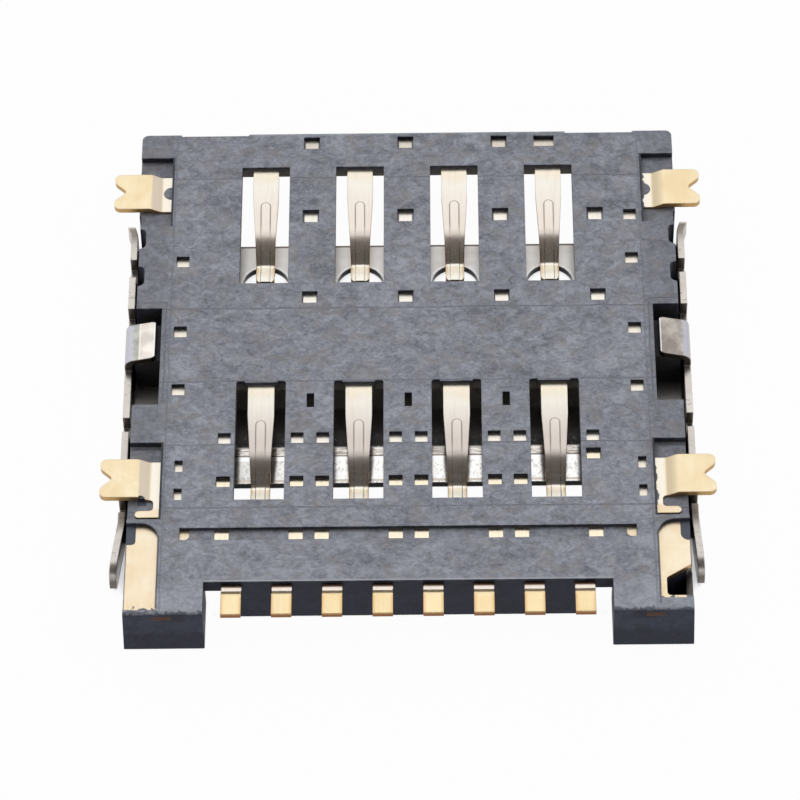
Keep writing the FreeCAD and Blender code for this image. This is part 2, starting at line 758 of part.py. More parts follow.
def cover_shell():
    """Folded steel cover under the card, open at both ends and clipped round the base."""
    half_panel = wall_inner_x - cover_bend_radius
    panel = block(-half_panel, half_panel, cover_stop_y, cover_mouth_y, body_bottom_z, rail_bottom_z)
    cover = joined([panel] + [cover_side(side) for side in sides])
    holes = []
    for column in range(contacts_per_row):
        centre = FreeCAD.Vector(column_x(column), tip_hole_y, body_bottom_z - cut_margin)
        holes.append(Part.makeCylinder(tip_hole_radius, 2 * cut_margin, centre))
    return cover.cut(holes).removeSplitter()


def socket_pieces():
    """Every piece of the socket by name, still in the building frame."""
    pieces = {}
    for column in range(contacts_per_row):
        pieces[f"mouth_contact_{column + 1}"] = mouth_contact(column)
        pieces[f"inner_contact_{column + 1}"] = inner_contact(column)
    for side in sides:
        pieces[f"{side}_solder_rail"] = solder_rail(side)
    pieces["base_housing"] = base_housing(list(pieces.values()))
    pieces["cover_shell"] = cover_shell()
    return pieces


def to_frame(shape):
    """Moves a piece so that the origin is the middle of the bottom of the whole socket."""
    middle_y = (overall_near_y + overall_far_y) / 2
    return shape.translated(FreeCAD.Vector(0, -middle_y, -body_bottom_z))


def export_piece(name, shape):
    placed = to_frame(shape)
    placed.exportStep(f"parts/{name}.step")
    box = placed.BoundBox
    print(f"{name}: {len(placed.Solids)} solid, valid {placed.isValid()}, {placed.Volume:.3f} mm3, "
          f"x {box.XMin:.2f} to {box.XMax:.2f}, y {box.YMin:.2f} to {box.YMax:.2f}, "
          f"z {box.ZMin:.2f} to {box.ZMax:.2f}")


os.makedirs("parts", exist_ok=True)
for piece_name, piece in socket_pieces().items():
    export_piece(piece_name, piece)
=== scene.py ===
# %% [markdown]
# # A SIM card socket, dressed around its CAD frame
# The socket lies on its steel cover with the solder side up. The solids are already exact, so this
# lesson gives them what the solids lack: softened moulded and stamped edges, the finish of each
# metal and of the black plastic, small moulding flaws, a studio and the camera.

# %% Load the frame
import math

import bpy
from mathutils import Matrix, Vector


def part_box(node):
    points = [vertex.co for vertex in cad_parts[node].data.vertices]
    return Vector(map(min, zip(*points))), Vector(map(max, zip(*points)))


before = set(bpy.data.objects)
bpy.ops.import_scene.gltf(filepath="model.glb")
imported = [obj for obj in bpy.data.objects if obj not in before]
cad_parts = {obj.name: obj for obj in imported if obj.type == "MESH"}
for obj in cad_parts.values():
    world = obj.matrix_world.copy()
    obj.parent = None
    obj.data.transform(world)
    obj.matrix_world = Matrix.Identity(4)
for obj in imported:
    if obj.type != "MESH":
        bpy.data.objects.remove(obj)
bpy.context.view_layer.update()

MM = 0.001

# %% [markdown]
# ## Places that several cells use
# A finish often changes at a place on the socket, so the places have names. The level of the solder
# face and the plate edge with the tails are read from the frame. Every other place is in
# millimetres: x across from the middle, y from the tail edge towards the card mouth, and z up from
# the cover that the socket lies on.

# %% Places on the socket
FOOT_REACH = 1.0
base_low, base_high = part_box("base_housing")
PLATE_TOP = base_high.z / MM
TAIL_EDGE = base_low.y / MM + FOOT_REACH
CONTACT_PITCH = 2.54
TAIL_PITCH = CONTACT_PITCH / 2
MOUTH_ROOT, INNER_ROOT = 14.11, 6.49
POCKET_EDGE = 6.34
FAR_POCKET, NEAR_POCKET = (12.02, 14.49), (2.02, 4.53)
FOOT_PANEL = (-0.8, 1.5)
CLIP_OPENING = (5.9, 9.3)
COVER_HOLE_Y = 11.0
print("solder face at z", round(PLATE_TOP, 3), "mm, tail edge at y", round(TAIL_EDGE, 3), "mm")

# %% [markdown]
# ## The camera
# The photograph is taken with a long lens from about fifty degrees above, slightly turned and
# slightly rolled. A camera is three axes and a place, so the angles are turned into its matrix.

# %% Camera at the photograph's angle
ELEVATION, YAW, ROLL = (math.radians(a) for a in (50.2948, -0.8943, -1.2515))
AIM = Vector((-0.1959, TAIL_EDGE + 5.8753, PLATE_TOP)) * MM
DISTANCE = 117.83 * MM
LENS = 204.465
SENSOR = 36

level_ahead = Vector((math.sin(YAW), math.cos(YAW), 0))
ahead = level_ahead * math.cos(ELEVATION) - Vector((0, 0, math.sin(ELEVATION)))
level_right = Vector((math.cos(YAW), -math.sin(YAW), 0))
level_up = level_right.cross(ahead)
right = level_right * math.cos(ROLL) + level_up * math.sin(ROLL)
up = level_up * math.cos(ROLL) - level_right * math.sin(ROLL)
turn = Matrix((right, up, -ahead)).transposed().to_4x4()

camera_data = bpy.data.cameras.new("photo_camera")
camera_data.lens = LENS
camera_data.sensor_width = SENSOR
camera_data.clip_start = 0.01
camera_data.clip_end = 5
camera = bpy.data.objects.new("photo_camera", camera_data)
camera.matrix_world = Matrix.Translation(AIM - ahead * DISTANCE) @ turn
bpy.context.scene.collection.objects.link(camera)
bpy.context.scene.camera = camera
print("camera at", [round(v / MM, 1) for v in camera.location], "mm")

# %% [markdown]
# ## Writing materials
# A material is a graph of small nodes. The class below writes one graph: `add` makes a node, sets its
# fields, and sets or links its sockets. The other methods are the few sums that the finishes need.
# Colours are written as sRGB hex, the way a colour picker shows them, and `linear` turns them to the
# linear values that light needs.

# %% A small kit for node graphs
def linear(hex_colour):
    """sRGB hex to a linear colour with alpha."""
    parts = [int(hex_colour[i:i + 2], 16) / 255 for i in (1, 3, 5)]
    return (*[c / 12.92 if c <= 0.04045 else ((c + 0.055) / 1.055) ** 2.4 for c in parts], 1)


class Graph:
    """Writes one node graph. A value is a number, or the output of another node."""

    def __init__(self, tree):
        self.tree = tree
        tree.nodes.clear()

    def add(self, kind, sockets=None, **fields):
        """Adds one node, sets its fields, and sets or links its sockets."""
        made = self.tree.nodes.new(kind)
        for field, value in fields.items():
            setattr(made, field, value)
        for name, value in (sockets or {}).items():
            if isinstance(value, bpy.types.NodeSocket):
                self.tree.links.new(value, made.inputs[name])
            else:
                made.inputs[name].default_value = value
        return made

    def calc(self, operation, *values):
        """One step of arithmetic."""
        return self.add("ShaderNodeMath", dict(enumerate(values)), operation=operation).outputs[0]

    def scaled(self, value, factor, start):
        """The value times a factor, from a start."""
        return self.calc("MULTIPLY_ADD", value, factor, start)

    def times(self, first, *others):
        """A product, which is where several masks meet."""
        for value in others:
            first = self.calc("MULTIPLY", first, value)
        return first

    def most(self, first, *others):
        """The largest, which is where any of several masks is."""
        for value in others:
            first = self.calc("MAXIMUM", first, value)
        return first

    def near(self, value, target, half_width):
        """1 where the value is within half a width of the target, with crisp edges."""
        return self.calc("COMPARE", value, target, half_width)

    def spread(self, value, low, high, to_low=0.0, to_high=1.0):
        """Stretches a range of values to another range, clamped at its ends."""
        return self.add("ShaderNodeMapRange", {"Value": value, "From Min": low, "From Max": high,
                        "To Min": to_low, "To Max": to_high}).outputs[0]

    def within(self, value, low, high, soft=0.02):
        """1 between two levels of a value, fading out over a short way."""
        return self.times(self.spread(value, low - soft, low),
                          self.spread(value, high, high + soft, 1.0, 0.0))

    def length(self, u, v):
        """Length of a way that goes u along and v across."""
        return self.calc("SQRT", self.calc("ADD", self.times(u, u), self.times(v, v)))

    def blend(self, factor, first, second):
        """Colour mix. Each colour is sRGB hex or another node's output."""
        colours = [linear(c) if isinstance(c, str) else c for c in (first, second)]
        return self.add("ShaderNodeMix", {"Factor": factor, 6: colours[0], 7: colours[1]},
                        data_type="RGBA").outputs[2]


class Finish(Graph):
    """The graph of a new material, with the surface's place in millimetres and the way it faces.
    The facing has small edge radii in it, as moulded and stamped edges are never sharp."""

    def __init__(self, name, edge_radius):
        self.material = bpy.data.materials.new(name)
        self.material.use_nodes = True
        super().__init__(self.material.node_tree)
        self.shader = self.add("ShaderNodeBsdfPrincipled")
        self.add("ShaderNodeOutputMaterial", {"Surface": self.shader.outputs["BSDF"]})
        own_place = self.add("ShaderNodeTexCoord").outputs["Object"]
        self.place = self.add("ShaderNodeVectorMath", {0: own_place, "Scale": 1 / MM},
                              operation="SCALE").outputs[0]
        axes = self.add("ShaderNodeSeparateXYZ", {0: self.place}).outputs
        self.x = axes["X"]
        self.y = self.calc("SUBTRACT", axes["Y"], TAIL_EDGE)
        self.z = axes["Z"]
        self.off_middle = self.calc("ABSOLUTE", self.x)
        self.on_right = self.spread(self.x, -0.1, 0.1)
        self.rounded = self.add("ShaderNodeBevel", {"Radius": edge_radius * MM}, samples=6).outputs[0]
        self.facing = self.add("ShaderNodeSeparateXYZ", {0: self.rounded}).outputs

    def noise(self, scale, detail, distortion=0.0, roughness=0.6, stretch=None):
        """Noise with its scale in features per millimetre, or per millimetre times a stretch."""
        place = self.place
        if stretch:
            place = self.add("ShaderNodeMapping", {"Vector": place, "Scale": stretch}).outputs[0]
        return self.add("ShaderNodeTexNoise", {"Vector": place, "Scale": scale, "Detail": detail,
                        "Roughness": roughness, "Distortion": distortion}).outputs["Fac"]

    def from_column(self, pitch):
        """Distance across from the middle of the nearest contact or tail of a row."""
        share = self.calc("FRACT", self.calc("DIVIDE", self.x, pitch))
        return self.times(self.calc("ABSOLUTE", self.calc("SUBTRACT", share, 0.5)), pitch)

    def complete(self, colour, roughness, height, strength, depth):
        """Links the colour, the roughness and a fine relief, and gives the material."""
        relief = self.add("ShaderNodeBump", {"Strength": strength, "Distance": depth * MM,
                          "Height": height, "Normal": self.rounded}).outputs[0]
        for name, value in (("Base Color", colour), ("Roughness", roughness), ("Normal", relief)):
            self.tree.links.new(value, self.shader.inputs[name])
        return self.material


print("node kit ready")

# %% [markdown]
# ## Black plastic of the base
# The base is glass-filled liquid crystal polymer. Its solder side is painted blue-grey, far lighter than
# black plastic, as painted sheen from the soft light above, with flow wrinkles of a few tenths of a
# millimetre, and fine dark lines where the parts of the mould met. The walls, the feet's fronts and the
# faces deep below the solder face are painted almost black as painted shade. So the colour follows the way a
# face points.

# %% The plastic's face on the solder side
FLOW_STRETCH = (0.85, 1.0, 1.0)
LINE_HALF_WIDTH = 0.024
MOULD_LINES_Y = (13.71, 9.06, 6.555, 4.44, 2.37)
MOULD_LINE_X, CLIP_LINE_X = 6.24, 6.36
PLATE_SPAN = (0.0, 15.0)
RAIL_SHADE_X = (6.1, 6.5)
FOOT_SHADE_Y = (0.2, -0.4)
TAIL_RIM_Y, TAIL_RIM_HALF, TAIL_RIM_END_X = 0.015, 0.03, 5.15
PANEL_NUB_X, PANEL_NUB_Y = (6.88, 6.91), (1.25, 1.9)
LEFT_KNOB_X, LEFT_KNOB_Y = (-6.9, -6.68), (2.6, 2.84)
FOOT_CHIP_Y = -0.97
DEEPEST_FACE = PLATE_TOP - 0.195


def plate_face(g, mottle, flow, wrinkle):
    """Blue-grey face with warm patches, pale ridges as painted highlights, darker at the rails, paler on the
    feet, and a painted highlight along the tail edge.
    """
    face = g.blend(mottle, "#70737C", "#AAAEBA")
    patch = g.noise(1.9, 4.0, 0.8, stretch=FLOW_STRETCH)
    warm = g.spread(patch, 0.5, 0.66, 0.0, 0.6)
    face = g.blend(warm, face, g.blend(wrinkle, "#7E7B7C", "#9C9794"))
    # The pale ridges are painted highlights on the wrinkles.
    ridge_highlight = g.spread(g.calc("ABSOLUTE", g.calc("SUBTRACT", wrinkle, 0.56)), 0.0, 0.012, 1.0, 0.0)
    face = g.blend(g.times(ridge_highlight, g.spread(flow, 0.5, 0.62, 0.0, 0.35)), face, "#C2CAD2")
    face = g.blend(g.spread(g.off_middle, *RAIL_SHADE_X, 0.0, 0.3), face, "#60626A")
    on_foot = g.spread(g.y, *FOOT_SHADE_Y, 0.0, 0.75)
    face = g.blend(on_foot, face, g.blend(mottle, "#8F929B", "#B4B8C4"))
    # A painted highlight along the plate's edge above the tails.
    tail_edge_highlight = g.times(g.near(g.y, TAIL_RIM_Y, TAIL_RIM_HALF),
                       g.spread(g.off_middle, TAIL_RIM_END_X, TAIL_RIM_END_X - 0.05, 0.0, 0.6))
    return g.blend(tail_edge_highlight, face, "#C4C8D0")


def mould_lines(g, flow, wrinkle):
    """Fine wavering lines where parts of the mould met. They fade in and out along their way."""
    waver = g.scaled(flow, 0.1, -0.05)
    y = g.calc("ADD", g.y, waver)
    off_middle = g.calc("ADD", g.off_middle, waver)
    across = g.most(0.0, *[g.near(y, line_y, LINE_HALF_WIDTH) for line_y in MOULD_LINES_Y])
    along = g.times(g.near(off_middle, MOULD_LINE_X, LINE_HALF_WIDTH), 0.6)
    beside_clip = g.times(g.near(off_middle, CLIP_LINE_X, LINE_HALF_WIDTH), g.within(g.y, *CLIP_OPENING))
    past_clip = g.times(g.near(y, CLIP_OPENING[1], LINE_HALF_WIDTH),
                        g.spread(g.off_middle, CLIP_LINE_X - 0.02, CLIP_LINE_X))
    lines = g.most(across, along, beside_clip, past_clip)
    return g.times(lines, g.spread(wrinkle, 0.4, 0.6, 0.05, 0.5))


def gap_shade_and_knobs(g, face):
    """Painted shade in the gaps along the pockets and foot panels, and the plastic that holds the rails down.
    """
    pockets = g.most(g.within(g.y, *FAR_POCKET), g.within(g.y, *NEAR_POCKET))
    # Painted shade in the narrow gaps beside the pockets and beside the foot panels.
    face = g.blend(g.times(g.near(g.off_middle, POCKET_EDGE - 0.025, 0.03), pockets, 0.85), face, "#2B2E38")
    beside_panel = g.times(g.near(g.off_middle, POCKET_EDGE - 0.02, 0.02), g.within(g.y, *FOOT_PANEL))
    face = g.blend(g.times(beside_panel, 0.6), face, "#4B3F40")
    panel_nub = g.times(g.spread(g.off_middle, *PANEL_NUB_X), g.within(g.y, *PANEL_NUB_Y))
    left_knob = g.times(g.within(g.x, *LEFT_KNOB_X), g.within(g.y, *LEFT_KNOB_Y))
    return g.blend(g.most(panel_nub, left_knob), face, "#5A5F6A")


def faces_up(g, wrinkle):
    """Where the plastic takes the lit colour of the solder face: faces that point up near it, less on a
    ragged strip along the feet's front edges. Faces lower down take the side colour as painted shade.
    """
    upward = g.spread(g.facing["Z"], 0.25, 0.9)
    from_front = g.calc("SUBTRACT", g.y, FOOT_CHIP_Y)
    ragged_front = g.calc("SUBTRACT", g.scaled(wrinkle, 0.9, -0.42), from_front)
    # Faces below the deepest level take the sides' painted shade.
    shallow = g.spread(g.z, DEEPEST_FACE - 0.01, DEEPEST_FACE + 0.01)
    return g.times(upward, g.spread(ragged_front, 0.0, 0.03, 1.0, 0.25), shallow)


print("solder face described")

# %% [markdown]
# The sides are painted darker as painted shade, but not even: the window walls are painted lighter as painted
# light caught from the cover, the feet's fronts are lighter towards the top, the top edges of the walls carry
# wear and a painted highlight, and each foot has a scar where the carrier of its rail was cut off.

# %% The plastic's sides, and the whole material
FOOT_FRONT_Y = (-0.9, -0.95)
INSIDE_Y, INSIDE_END_X = (0.6, 15.0), (7.1, 7.0)
WINDOW_WALLS_END_X = (5.8, 6.2)
SCAR_X, SCAR_Z = (5.7, 6.2), (PLATE_TOP - 0.2, PLATE_TOP + 0.03)
LEDGE_X, LEDGE_Y, LEDGE_Z = (7.08, 0.065), (0.1, 0.6), (PLATE_TOP - 0.2, PLATE_TOP - 0.25)


def side_faces(g, mottle, wrinkle):
    """Walls painted almost black as painted shade, lighter towards the top of the feet's fronts, with scars,
    painted light on the window walls, and wear with a painted highlight along the top edges.
    """
    # The sides' near-black is painted shade.
    side = g.blend(mottle, "#191C27", "#2D3143")
    on_front = g.spread(g.y, *FOOT_FRONT_Y)
    front_upper_band = g.spread(g.scaled(wrinkle, 0.5, g.z), PLATE_TOP - 0.62, PLATE_TOP - 0.5)
    side = g.blend(g.times(front_upper_band, on_front), side, g.blend(mottle, "#242735", "#3E4254"))
    deep = g.spread(g.z, PLATE_TOP - 0.04, PLATE_TOP - 0.3)
    inside = g.times(deep, g.within(g.y, *INSIDE_Y), g.spread(g.off_middle, *INSIDE_END_X))
    # Painted light on the walls inside the windows, darker beside the clips.
    lit = g.blend(g.spread(g.off_middle, *WINDOW_WALLS_END_X), "#8C8781", "#343334")
    side = g.blend(inside, side, lit)
    scar_x = g.within(g.calc("ADD", g.off_middle, g.scaled(wrinkle, 0.3, -0.15)), *SCAR_X, 0.14)
    scar_z = g.within(g.scaled(wrinkle, 0.2, g.z), *SCAR_Z, 0.06)
    side = g.blend(g.times(scar_x, scar_z, on_front, 0.6), side, "#14151B")
    at_ledge = g.times(g.near(g.off_middle, *LEDGE_X), g.near(g.y, *LEDGE_Y), g.spread(g.z, *LEDGE_Z))
    side = g.blend(at_ledge, side, "#8A8A85")
    # Wear and a painted highlight along the walls' top edges.
    top_wear_and_highlight = g.calc("ADD", g.z, g.scaled(wrinkle, 0.24, -0.12))
    return g.blend(g.spread(top_wear_and_highlight, PLATE_TOP - 0.05, PLATE_TOP + 0.03), side, "#5A6068")


def moulded_plastic():
    """Black plastic: mottled face with mould lines, dark sides, and a relief of wrinkles and grain."""
    g = Finish("black_lcp_moulded", edge_radius=0.03)
    flow = g.noise(1.0, 5.0, 0.7, stretch=FLOW_STRETCH)
    wrinkle = g.noise(3.8, 7.0, 0.8, 0.64, stretch=FLOW_STRETCH)
    grain = g.noise(13.0, 4.0, 0.4, stretch=FLOW_STRETCH)
    tone = g.spread(g.y, *PLATE_SPAN, 0.016, -0.016)
    for layer, share in ((flow, 0.22), (wrinkle, 0.48), (grain, 0.3)):
        tone = g.scaled(layer, share, tone)
    mottle = g.spread(tone, 0.39, 0.61)
    lines = mould_lines(g, flow, wrinkle)
    face = g.blend(lines, plate_face(g, mottle, flow, wrinkle), "#363A42")
    face = gap_shade_and_knobs(g, face)
    # Faces that point up take the lit colour; all others take the sides' painted shade.
    colour = g.blend(faces_up(g, wrinkle), side_faces(g, mottle, wrinkle), face)
    g.shader.inputs["Specular IOR Level"].default_value = 0.3
    return g.complete(colour, roughness=g.spread(grain, 0.0, 1.0, 0.5, 0.7),
                      height=g.scaled(lines, -0.8, tone), strength=0.6, depth=0.025)


base_plastic = moulded_plastic()
print("made", base_plastic.name)

# %% [markdown]
# ## Plated copper alloy
# Contacts and rails are stamped from thin copper alloy strip, plated with nickel and a flash of
# gold. A flat face mirrors the pale studio, a sheared edge is darker and warmer, its darkness partly painted
# shade, the underside is painted grey as painted shade, and where the strip was cut from its carrier after
# plating the bare alloy shows brown.

# %% What both strips share
STRIP_EDGE_RADIUS = 0.03
CUT_END_Y = -0.8


def clouded(g, cloud, first, second):
    """Two tones of plating in soft clouds."""
    return g.blend(g.spread(cloud, 0.35, 0.65), first, second)


def stamped(g, flat, fine, streak_share, edge, cut_end):
    """The flat colour with drawing streaks, then sheared edges darker and warmer, partly as painted shade,
    the underside painted grey as painted shade, and the torn cut end.
    """
    streaks = g.noise(1.0, 3.0, stretch=(11.0, 0.9, 0.9))
    flat = g.blend(g.spread(streaks, 0.5, 0.64, 0.0, streak_share), flat, "#D2C0A6")
    # Sheared edges darker and warmer, the darkness partly painted shade.
    colour = g.blend(g.spread(g.calc("ABSOLUTE", g.facing["Z"]), 0.2, 0.6), edge, flat)
    # Undersides painted grey as painted shade.
    colour = g.blend(g.spread(g.facing["Z"], -0.3, -0.6), colour, "#BDB4AC")
    faces_front = g.spread(g.facing["Y"], -0.3, -0.55)
    torn = g.spread(g.scaled(fine, 0.08, g.z), PLATE_TOP + 0.02, PLATE_TOP)
    cut = g.times(faces_front, g.spread(g.y, CUT_END_Y, CUT_END_Y - 0.1), torn)
    return g.blend(cut, colour, cut_end)


def strip_roughness(g, fine, roughness):
    """Roughness that varies a little, and less of it where the beams' tips are burnished."""
    rough = g.spread(fine, 0.0, 1.0, roughness - 0.06, roughness + 0.08)
    return g.times(rough, g.spread(g.z, 0.86, 0.72, 1.0, 0.6))


print("strip described")

# %% [markdown]
# The rails' tabs slope up from their pockets to the level of the board. The slope is painted darker as
# painted shade, softly on the right and more crisply on the left. While the plastic was moulded, a little of
# it crept over the rails as flash. It hides the near edge of the foot panels and, on the right, part of the
# roots of the tabs. Flash is plastic, so it isn't metallic.

# %% Rail material
TAB_START_Y = 2.4
TAB_ROOT_X = (6.6, 6.56)
SOFT_BEND_X, SOFT_FADE_X = (6.58, 6.63), (6.74, 6.93)
CRISP_SLOPE_X = (6.62, 6.86)
PANEL_ENDS_Y = (-0.87, -0.62)
PANEL_CORNER_X = (6.95, 7.1)


def tab_tones(g, flat, cloud, on_tab):
    """Warmer tabs with a shaded slope and a bright root."""
    flat = g.blend(g.times(on_tab, 0.9), flat, clouded(g, cloud, "#FFF0CC", "#F6DFB4"))
    # The slope's darker tones are painted shade.
    soft_slope = g.times(g.spread(g.off_middle, *SOFT_BEND_X), g.spread(g.off_middle, *SOFT_FADE_X, 1.0, 0.0))
    flat = g.blend(g.times(soft_slope, g.on_right, on_tab), flat, "#DECCAD")
    on_left = g.calc("SUBTRACT", 1.0, g.on_right)
    crisp_slope = g.within(g.off_middle, *CRISP_SLOPE_X, 0.04)
    flat = g.blend(g.times(crisp_slope, on_left, on_tab), flat, "#DED0BC")
    return g.blend(g.times(g.spread(g.off_middle, *TAB_ROOT_X), on_tab), flat, "#FFF7E8")


def moulding_flash(g, on_tab):
    """Ragged plastic over the near edge of the foot panels and over the roots of the right tabs."""
    from_edge = g.calc("SUBTRACT", g.y, g.spread(g.x, -0.1, 0.1, *PANEL_ENDS_Y))
    ragged = g.scaled(g.noise(5.0, 4.0, 0.5), 0.9, -0.36)
    reach = g.scaled(g.spread(g.off_middle, *PANEL_CORNER_X), 0.12, ragged)
    on_panel = g.times(g.spread(g.calc("SUBTRACT", reach, from_edge), 0.0, 0.02), g.spread(g.y, 0.0, -0.1))
    wavy = g.scaled(g.noise(2.5, 2.0, 0.3), 0.36, POCKET_EDGE - 0.14)
    on_root = g.times(g.spread(g.calc("SUBTRACT", wavy, g.off_middle), 0.0, 0.02),
                      g.spread(g.off_middle, POCKET_EDGE - 0.06, POCKET_EDGE - 0.05), g.on_right, on_tab)
    return g.times(g.most(on_panel, on_root), g.spread(g.facing["Z"], 0.6, 0.8))


def rail_plating():
    """Gold flash on the side rails, with plastic flash where it crept over them."""
    g = Finish("gold_flashed_rail", STRIP_EDGE_RADIUS)
    cloud = g.noise(1.1, 5.0, 0.6)
    fine = g.noise(14.0, 3.0)
    on_tab = g.spread(g.y, TAB_START_Y, TAB_START_Y + 0.1)
    flat = tab_tones(g, clouded(g, cloud, "#FFF1D6", "#F6E0BC"), cloud, on_tab)
    colour = stamped(g, flat, fine, streak_share=0.07, edge="#BE9A68", cut_end="#4E3830")
    flash = moulding_flash(g, on_tab)
    colour = g.blend(flash, colour, "#777A83")
    g.tree.links.new(g.calc("SUBTRACT", 1.0, flash), g.shader.inputs["Metallic"])
    return g.complete(colour, strip_roughness(g, fine, 0.36), height=fine, strength=0.3, depth=0.006)


rail_gold = rail_plating()
print("made", rail_gold.name)

# %% [markdown]
# A contact has gold only on its solder tail. From the plate inwards it shows nickel, cream at the
# root with a painted warm highlight, greyer along the beam, and worn bright at the tip that rubs on the card,
# with warm sides. A stamped bead shows as a fine loop of painted shade on the beam. The tail's bend over the
# plate edge has a pale shelf of painted highlight with a brown painted shade line in its fold, and painted
# shade on the pads' sides.

# %% Contact material
BEAM_LEVEL, TIP_LEVEL = (1.12, 1.27), (0.86, 0.72)
BEAD_RADIUS = 0.125
BEAD_END = 1.185
NICKEL_START_Y = (1.0, 1.2)
CORE_PIN_MARKS = (1.2, 4.5)
PAD_START_Y = (-0.4, -0.5)
SHELF_Y, FOLD_Y = (-0.24, 0.01), (-0.08, 0.01)


def nickel_tones(g, cloud, across, near_marks):
    """Nickel along a contact: root, beam, tip, a painted warm highlight in clouds near each root, and the
    core-pin marks.
    """
    beam = g.blend(g.spread(g.y, INNER_ROOT + 0.11, INNER_ROOT + 0.01), "#FBEFE4", "#E4DAD2")
    silver = g.blend(g.spread(g.z, *BEAM_LEVEL), beam, "#FFF9EE")
    tip = g.blend(g.spread(across, 0.16, 0.26, 0.0, 0.7), "#FFFAEE", "#DDB878")
    silver = g.blend(g.spread(g.z, *TIP_LEVEL), silver, tip)
    # A painted warm highlight in clouds near each root.
    for root in (MOUTH_ROOT, INNER_ROOT):
        warm = g.within(g.scaled(cloud, 0.8, g.y), root + 0.15, root + 1.2, 0.25)
        silver = g.blend(g.times(warm, 0.5), silver, "#FFF0D2")
    silver = g.blend(near_marks, silver, "#FFF3D8")
    return g.blend(g.spread(g.y, MOUTH_ROOT + 0.09, MOUTH_ROOT + 0.19), silver, "#E2D9CC")


def bead_loops(g, flat, across):
    """A long narrow loop of painted shade on each beam, round at its end, along the edge of a stamped
    stiffening bead.
    """
    for root in (MOUTH_ROOT, INNER_ROOT):
        past = g.most(g.calc("SUBTRACT", g.y, root - BEAD_END), 0.0)
        loop = g.near(g.length(across, past), BEAD_RADIUS, 0.02)
        loop = g.times(loop, g.within(g.y, root - 1.75, root - 1.0, 0.35), 0.55)
        # The loop is painted shade along the bead's edge.
        flat = g.blend(loop, flat, "#8C8178")
    return flat


def tail_tones(g, flat):
    """Painted shade in copper tones at the sides of the solder pads, and the pale shelf of painted highlight
    with its brown painted shade line in the fold.
    """
    # Painted shade at the rounded sides of the pads.
    pad_side_shade = g.spread(g.from_column(TAIL_PITCH), 0.17, 0.255, 0.0, 0.75)
    flat = g.blend(g.times(pad_side_shade, g.spread(g.y, *PAD_START_Y)), flat, "#E2B072")
    # The pale shelf is a painted highlight, the brown fold line painted shade.
    flat = g.blend(g.within(g.y, *SHELF_Y), flat, "#FFF2E6")
    return g.blend(g.within(g.y, *FOLD_Y, 0.04), flat, "#8F7058")


def contact_strip():
    """Gold on the solder tails, nickel from the plate inwards."""
    g = Finish("nickel_and_gold_contact", STRIP_EDGE_RADIUS)
    cloud = g.noise(1.1, 5.0, 0.6)
    fine = g.noise(14.0, 3.0)
    across = g.from_column(CONTACT_PITCH)
    near_marks = g.times(g.within(g.y, *CORE_PIN_MARKS), g.spread(g.z, 1.12, 1.2))
    silver = nickel_tones(g, cloud, across, near_marks)
    flat = g.blend(g.spread(g.y, *NICKEL_START_Y), clouded(g, cloud, "#FFECC0", "#FAE0AE"), silver)
    flat = tail_tones(g, bead_loops(g, flat, across))
    colour = stamped(g, flat, fine, streak_share=0.12, edge="#A58258", cut_end="#8A5F40")
    g.shader.inputs["Metallic"].default_value = 1
    rough = g.times(strip_roughness(g, fine, 0.32), g.spread(near_marks, 0.0, 1.0, 1.0, 0.7))
    return g.complete(colour, rough, height=fine, strength=0.3, depth=0.006)


contact_plating = contact_strip()
print("made", contact_plating.name)

# %% [markdown]
# ## Rolled stainless steel
# The cover is cold-rolled stainless strip. Its folded walls, clips and arms are worn and specked, and
# its sheared edges are dull and painted darker as painted shade. Its panel is seen only through the windows,
# each row of which looks at
# another stretch: the near row at a speckled band, partly painted light, with fine rolling marks, a painted
# highlight line and the dim panel behind it painted dark as painted shade; the far row at a clean stretch
# with the round holes for the beams, ringed by painted highlights.

# %% The cover's panel in the windows
BAND_END_Y = 5.35
ROLLING_BAND = (5.2, 0.14)
# Lines across the panel; the white one is a painted highlight.
PANEL_LINES_AND_HIGHLIGHT = ((4.24, 0.04, "#CFC6BC"), (4.97, 0.07, "#FFFFFF"), (5.06, 0.022, "#8E867F"))
FIRST_WINDOW_X = (-3.0, -3.5)
DIM_PANEL_Y = (5.5, 6.4)
FAR_PANEL_Y = (6.6, 6.7)
HOLE_RIM_HIGHLIGHT = (0.655, 0.035)
PANEL_EDGE_Y, PANEL_EDGE_HALF = 12.34, 0.03


def near_panel(g):
    """Speckled band painted near white, partly as painted light, rolling marks with a painted highlight line,
    and the dim panel further in painted dark as painted shade.
    """
    specks = g.noise(5.0, 2.5, 0.6, stretch=(2.6, 1.5, 1.0))
    # The band's near white is partly painted light.
    band = g.blend(g.spread(specks, 0.34, 0.5), "#D2CFCD", "#FFFEFB")
    first_window = g.spread(g.x, *FIRST_WINDOW_X, 0.0, 0.35)
    band = g.blend(first_window, band, "#A39D95")
    # The dim panel under the plate is painted dark as painted shade.
    dim = g.blend(g.spread(g.y, *DIM_PANEL_Y), "#4A4948", "#B4B1AE")
    dim = g.blend(g.spread(specks, 0.6, 0.68, 0.0, 0.6), dim, "#B8B5B2")
    panel = g.blend(g.spread(g.y, BAND_END_Y - 0.03, BAND_END_Y + 0.03), band, dim)
    layered = g.noise(3.0, 3.0, 0.4, stretch=(1.2, 5.0, 1.0))
    layers = g.blend(g.spread(layered, 0.38, 0.62), "#A59C95", "#EFE9E3")
    panel = g.blend(g.near(g.y, *ROLLING_BAND), panel, layers)
    for y, half_width, tone in PANEL_LINES_AND_HIGHLIGHT:
        panel = g.blend(g.near(g.y, y, half_width), panel, tone)
    return panel


